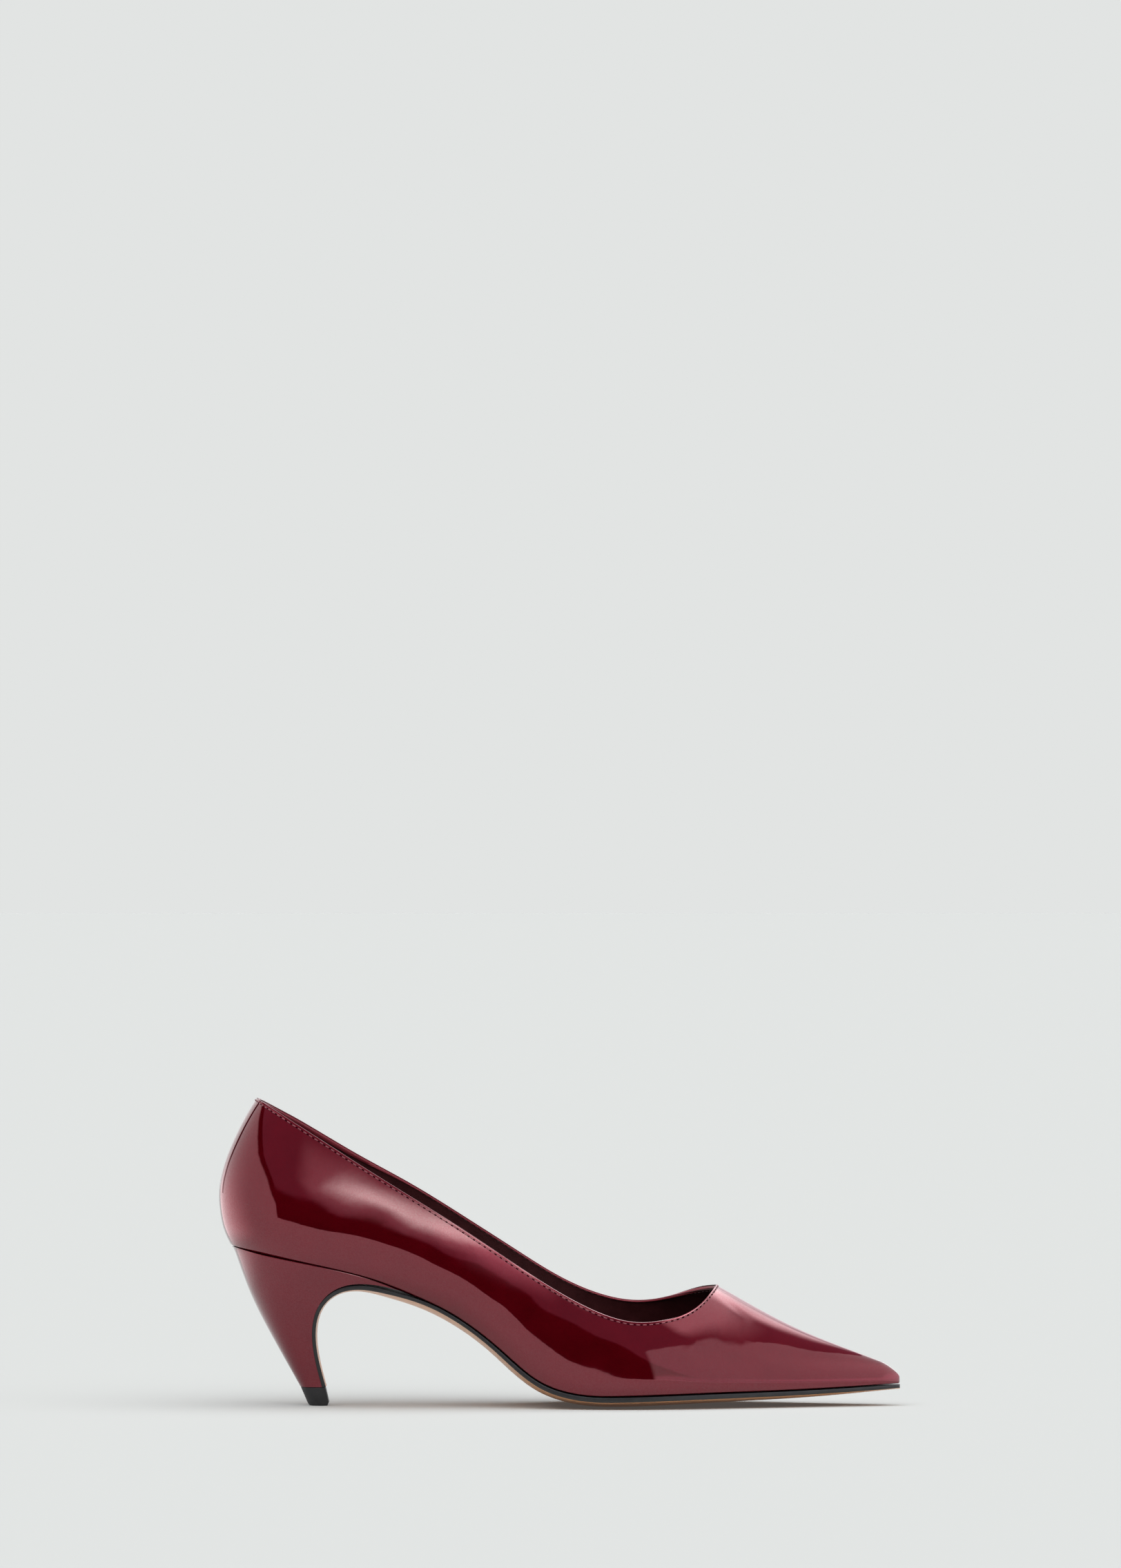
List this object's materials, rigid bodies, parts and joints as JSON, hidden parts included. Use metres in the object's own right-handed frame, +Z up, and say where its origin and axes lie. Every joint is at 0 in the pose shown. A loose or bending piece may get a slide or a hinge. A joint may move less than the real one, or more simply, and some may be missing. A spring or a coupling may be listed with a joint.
{
  "type": "high heel",
  "caption": "Pointed-toe court shoe for a right foot: hollow glossy upper with an open collar, insole, thin sole that runs down the breast of a curved covered heel, and a black heel tip.",
  "frame": {"origin": "on the floor, under the middle of the shoe's bounding box", "axes": "+X towards the toe, +Y towards the medial side, which is the wearer's left of this right shoe, +Z up"},
  "size_m": [0.2561, 0.0757, 0.1156],
  "materials": {
    "upper": "burgundy patent leather, high gloss",
    "insole": "very dark brown lining leather, matt",
    "outsole": "tan sole leather, satin, with a black painted edge",
    "heel": "burgundy patent leather cover, high gloss",
    "top_piece": "black, matt"
  },
  "bodies": {
    "root": {"upper": "upper", "insole": "insole", "outsole": "outsole", "heel": "heel", "top_piece": "top_piece"}
  },
  "joints": []
}
